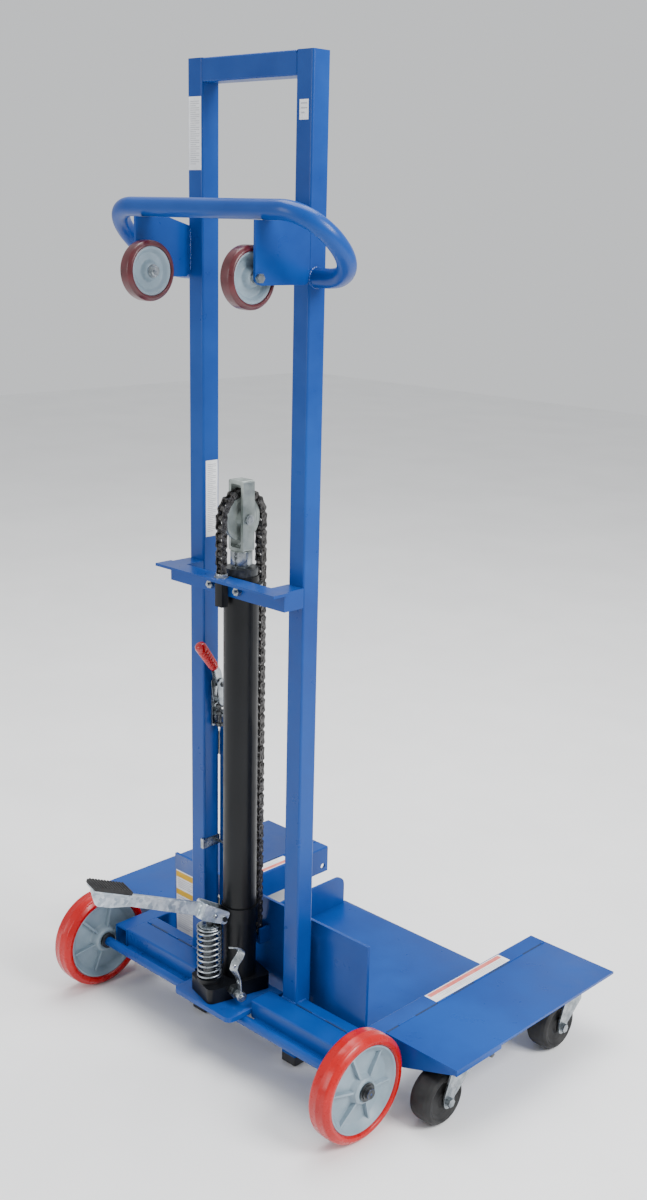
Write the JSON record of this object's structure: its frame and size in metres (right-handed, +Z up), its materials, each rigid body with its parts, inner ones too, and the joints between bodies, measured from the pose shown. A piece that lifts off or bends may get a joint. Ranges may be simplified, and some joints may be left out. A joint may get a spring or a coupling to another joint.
{
  "type": "platform lift truck",
  "caption": "Foot-pumped platform lift truck: twin-tube mast, hydraulic cylinder and chain raising a low deck, two fixed wheels and four swivel casters.",
  "frame": {"origin": "middle of the machine on the floor: the bottom centre of its bounding box", "axes": "+X to the right of someone pushing it, +Y forward over the deck, +Z up the mast"},
  "size_m": [1, 0.8433, 1.803],
  "materials": {
    "blue_paint": "semi-gloss enamel",
    "red_poly": "smooth polyurethane",
    "grey_rim": "moulded",
    "maroon_poly": "smooth polyurethane",
    "black_rubber": "matt",
    "black_plastic": "matt",
    "black_enamel": "satin enamel",
    "zinc_plate": "bright zinc",
    "galvanised": "hot dip galvanised",
    "cast_steel": "plated casting",
    "chain_steel": "oiled",
    "ground_rod": "ground and chromed",
    "red_grip": "dipped vinyl",
    "nylon": "machined nylon",
    "label": "vinyl film"
  },
  "bodies": {
    "frame": {"axle_retainers": "zinc_plate", "caster_plates": "zinc_plate", "chain_anchor": "black_enamel", "cross_tubes": "blue_paint", "cylinder_barrel": "black_enamel", "gland_nut": "zinc_plate", "mast_brace": "blue_paint", "mast_feet": "black_plastic", "mast_left": "blue_paint", "mast_right": "blue_paint", "mast_top_tube": "blue_paint", "pedal_pivot": "black_enamel", "pump_block": "black_enamel", "pump_plate": "blue_paint", "push_handle": "blue_paint", "rear_axle": "blue_paint", "release_valve": "zinc_plate", "side_rail_left": "blue_paint", "side_rail_right": "blue_paint", "spring_clip": "zinc_plate", "toggle_base": "zinc_plate", "transport_bolts": "zinc_plate", "u_bolt": "zinc_plate", "wheel_brackets": "blue_paint", "wing_left": "blue_paint", "wing_right": "blue_paint"},
    "rear_wheel_left": {"rear_tyre_left": "red_poly", "rear_rim_left": "grey_rim"},
    "transport_wheel_left": {"transport_tyre_left": "maroon_poly", "transport_rim_left": "grey_rim"},
    "caster_back_left": {"caster_fork_back_left": "zinc_plate"},
    "caster_roller_back_left": {"caster_wheel_back_left": "black_rubber"},
    "caster_front_left": {"caster_fork_front_left": "zinc_plate"},
    "caster_roller_front_left": {"caster_wheel_front_left": "black_rubber"},
    "rear_wheel_right": {"rear_tyre_right": "red_poly", "rear_rim_right": "grey_rim"},
    "transport_wheel_right": {"transport_tyre_right": "maroon_poly", "transport_rim_right": "grey_rim"},
    "caster_back_right": {"caster_fork_back_right": "zinc_plate"},
    "caster_roller_back_right": {"caster_wheel_back_right": "black_rubber"},
    "caster_front_right": {"caster_fork_front_right": "zinc_plate"},
    "caster_roller_front_right": {"caster_wheel_front_right": "black_rubber"},
    "ram": {"ram_rod": "ground_rod", "yoke": "cast_steel", "sheave_pin": "zinc_plate", "chain_wrap": "chain_steel", "chain_rear": "chain_steel"},
    "sheave": {"sheave": "cast_steel"},
    "carriage": {"deck": "blue_paint", "back_plate": "blue_paint", "carriage_uprights": "blue_paint", "guide_shoes": "nylon", "chain_front": "chain_steel"},
    "pedal": {"pedal_arm": "galvanised", "pedal_pad": "black_rubber"},
    "plunger": {"plunger": "ground_rod", "pump_spring": "zinc_plate"},
    "release_lever": {"release_lever": "zinc_plate"},
    "toggle_lever": {"toggle_handle": "zinc_plate", "toggle_grip": "red_grip"}
  },
  "joints": [
    {"name": "rear_wheel_left_spin", "type": "hinge", "parent": "frame", "child": "rear_wheel_left", "pos_m": [-0.37, -0.179, 0.1016], "axis": [1, 0, 0], "continuous": true},
    {"name": "transport_wheel_left_spin", "type": "hinge", "parent": "frame", "child": "transport_wheel_left", "pos_m": [-0.125, -0.2235, 1.461], "axis": [1, 0, 0], "continuous": true},
    {"name": "caster_back_left_swivel", "type": "hinge", "parent": "frame", "child": "caster_back_left", "pos_m": [-0.438, -0.008, 0.13], "axis": [0, 0, 1], "continuous": true},
    {"name": "caster_back_left_roll", "type": "hinge", "parent": "caster_back_left", "child": "caster_roller_back_left", "pos_m": [-0.438, -0.04, 0.0508], "axis": [1, 0, 0], "continuous": true},
    {"name": "caster_front_left_swivel", "type": "hinge", "parent": "frame", "child": "caster_front_left", "pos_m": [-0.438, 0.34, 0.13], "axis": [0, 0, 1], "continuous": true},
    {"name": "caster_front_left_roll", "type": "hinge", "parent": "caster_front_left", "child": "caster_roller_front_left", "pos_m": [-0.438, 0.308, 0.0508], "axis": [1, 0, 0], "continuous": true},
    {"name": "rear_wheel_right_spin", "type": "hinge", "parent": "frame", "child": "rear_wheel_right", "pos_m": [0.37, -0.179, 0.1016], "axis": [1, 0, 0], "continuous": true},
    {"name": "transport_wheel_right_spin", "type": "hinge", "parent": "frame", "child": "transport_wheel_right", "pos_m": [0.125, -0.2235, 1.461], "axis": [1, 0, 0], "continuous": true},
    {"name": "caster_back_right_swivel", "type": "hinge", "parent": "frame", "child": "caster_back_right", "pos_m": [0.438, -0.008, 0.13], "axis": [0, 0, 1], "continuous": true},
    {"name": "caster_back_right_roll", "type": "hinge", "parent": "caster_back_right", "child": "caster_roller_back_right", "pos_m": [0.438, -0.04, 0.0508], "axis": [1, 0, 0], "continuous": true},
    {"name": "caster_front_right_swivel", "type": "hinge", "parent": "frame", "child": "caster_front_right", "pos_m": [0.438, 0.34, 0.13], "axis": [0, 0, 1], "continuous": true},
    {"name": "caster_front_right_roll", "type": "hinge", "parent": "caster_front_right", "child": "caster_roller_front_right", "pos_m": [0.438, 0.308, 0.0508], "axis": [1, 0, 0], "continuous": true},
    {"name": "ram_lift", "type": "slide", "parent": "frame", "child": "ram", "axis": [0, 0, 1], "range_m": [0, 0.56], "deforming": ["chain_rear"]},
    {"name": "sheave_spin", "type": "hinge", "parent": "ram", "child": "sheave", "pos_m": [0, -0.121, 1.0455], "axis": [1, 0, 0], "continuous": true},
    {"name": "carriage_lift", "type": "slide", "parent": "ram", "child": "carriage", "axis": [0, 0, 1], "range_m": [0, 0.56], "deforming": ["chain_front"]},
    {"name": "pedal_press", "type": "hinge", "parent": "frame", "child": "pedal", "pos_m": [-0.01016, -0.16175, 0.282], "axis": [0.9703, -0.2419, 0], "range_deg": [0, 28], "stiffness_Nm_per_rad": 12, "springref_deg": -20.05},
    {"name": "plunger_push", "type": "slide", "parent": "frame", "child": "plunger", "axis": [0, 0, -1], "range_m": [0, 0.0125], "deforming": ["pump_spring"]},
    {"name": "release_turn", "type": "hinge", "parent": "frame", "child": "release_lever", "pos_m": [0.05678, -0.1702, 0.141], "axis": [0.9703, -0.2419, 0], "range_deg": [0, 25], "stiffness_Nm_per_rad": 0.6, "springref_deg": -17.19},
    {"name": "toggle_swing", "type": "hinge", "parent": "frame", "child": "toggle_lever", "pos_m": [-0.09795, -0.088, 0.708], "axis": [1, 0, 0], "range_deg": [0, 75]}
  ],
  "couplings": [
    {"joint": "sheave_spin", "follows": "ram_lift", "rad_per_m": 21.277},
    {"joint": "carriage_lift", "follows": "ram_lift", "ratio": 1},
    {"joint": "plunger_push", "follows": "pedal_press", "m_per_rad": 0.022}
  ]
}
